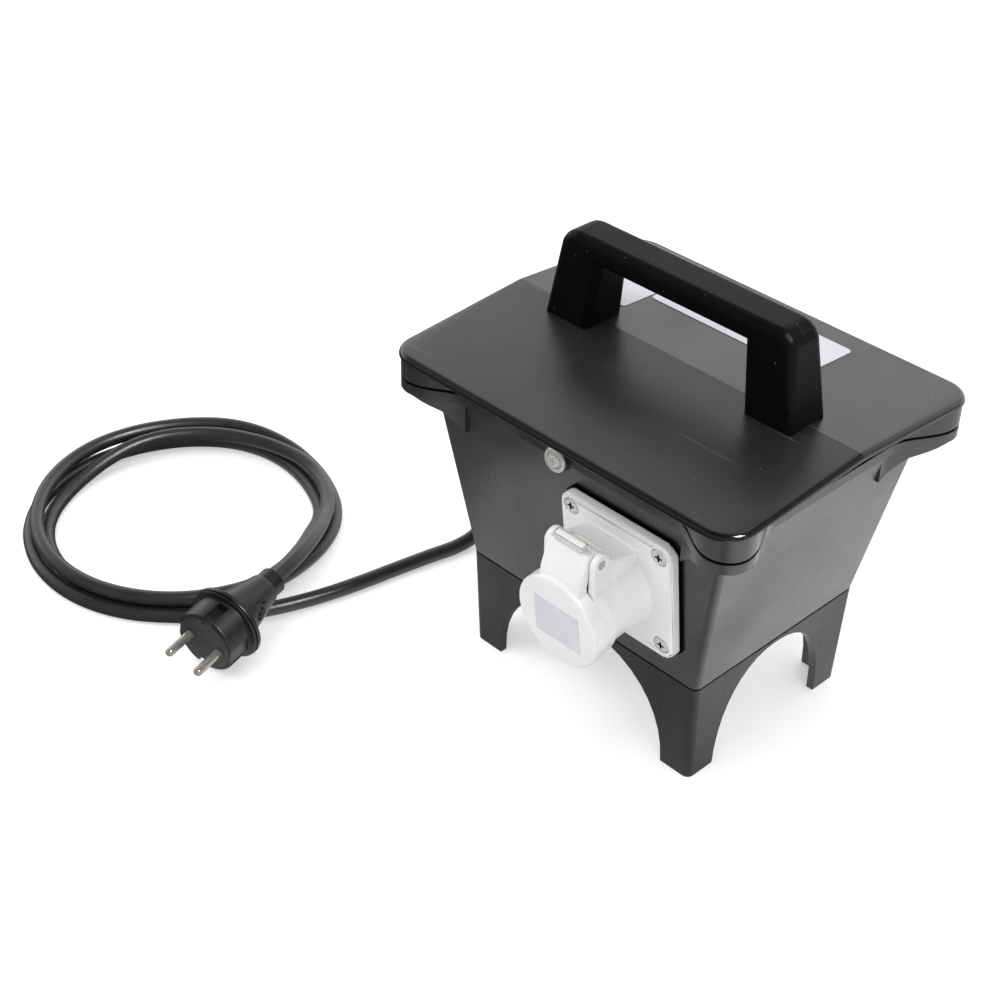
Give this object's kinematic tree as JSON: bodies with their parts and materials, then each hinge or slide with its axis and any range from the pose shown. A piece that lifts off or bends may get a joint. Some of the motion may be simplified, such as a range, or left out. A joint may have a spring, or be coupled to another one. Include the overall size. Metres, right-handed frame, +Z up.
{
  "type": "portable isolation transformer",
  "caption": "Black plastic isolating transformer on arched legs, with a gabled lid, carrying handle, sprung-flap outlet socket and a coiled rubber mains cord with plug.",
  "frame": {"origin": "on the floor, under the middle of the case and its socket, measured without the cord and plug", "axes": "+X to the right seen from the socket's side, along the lid's long side; +Y away from the socket; +Z up"},
  "size_m": [0.4722, 0.3005, 0.2357],
  "materials": {
    "lid_black": "satin black moulded plastic",
    "handle_black": "fine grained black plastic",
    "case_black": "satin black moulded plastic",
    "leg_black": "matt black moulded plastic",
    "gasket_black": "black foam rubber",
    "screw_steel": "bright zinc plated steel",
    "cup_steel": "bright plated steel",
    "insert_brass": "plain brass",
    "label_white": "white printed film, left bare",
    "label_silver": "silver printed film, left bare",
    "socket_white": "glossy white moulded plastic",
    "flap_white": "satin white moulded plastic",
    "panel_grey": "pale grey print panel, left bare",
    "carrier_ivory": "ivory moulded plastic",
    "contact_brass": "bright brass",
    "pin_metal": "plated steel",
    "spring_steel": "spring steel wire",
    "seal_grey": "grey rubber",
    "gland_black": "black moulded plastic",
    "cord_rubber": "matt black rubber",
    "plug_rubber": "matt black rubber",
    "plug_face_black": "hard black plastic",
    "pin_nickel": "nickel plated brass",
    "core_steel": "varnished silicon steel sheets",
    "bobbin_ivory": "glass filled plastic",
    "winding_copper": "enamelled copper wire",
    "wrap_yellow": "insulating film",
    "zinc_steel": "zinc plated sheet steel",
    "terminal_ivory": "ivory moulded plastic",
    "cutout_black": "black moulded plastic",
    "lead_brown": "brown wire insulation",
    "lead_blue": "blue wire insulation"
  },
  "bodies": {
    "case": {"lid_cover": "lid_black", "handle": "handle_black", "handle_screws": "screw_steel", "lid_gasket": "gasket_black", "lid_screws": "screw_steel", "lid_screw_cups": "cup_steel", "lid_inserts": "insert_brass", "tall_label": "label_white", "long_label": "label_silver", "tub": "case_black", "leg_frame": "leg_black", "leg_frame_screws": "screw_steel", "socket_gasket": "gasket_black", "socket_body": "socket_white", "contact_carrier": "carrier_ivory", "contact_sleeves": "contact_brass", "socket_screws": "screw_steel", "flap_pin": "pin_metal", "flap_spring": "spring_steel", "gland_body": "gland_black", "gland_dome": "gland_black", "gland_seal": "seal_grey", "gland_locknut": "gland_black", "cord_tail": "cord_rubber", "cord_lead": "cord_rubber", "cord_coil": "cord_rubber", "cord_end": "cord_rubber", "plug_body": "plug_rubber", "plug_face": "plug_face_black", "plug_pins": "pin_nickel", "core_laminations": "core_steel", "bobbin": "bobbin_ivory", "primary_winding": "winding_copper", "secondary_winding": "winding_copper", "winding_wrap": "wrap_yellow", "core_brackets": "zinc_steel", "core_bolts": "zinc_steel", "base_plate": "zinc_steel", "base_screws": "screw_steel", "terminal_block": "terminal_ivory", "terminal_screws": "screw_steel", "cord_clamp": "gland_black", "clamp_screws": "screw_steel", "thermal_cutout": "cutout_black", "primary_leads": "lead_brown", "secondary_leads": "lead_blue"},
    "flap": {"flap": "flap_white", "flap_seal": "seal_grey", "flap_panel": "panel_grey"}
  },
  "joints": [
    {"name": "flap_hinge", "type": "hinge", "parent": "case", "child": "flap", "pos_m": [0.0344, -0.09137, 0.14328], "axis": [-1, 0, 0], "range_deg": [0, 105], "stiffness_Nm_per_rad": 0.03, "springref_deg": -28.65}
  ]
}
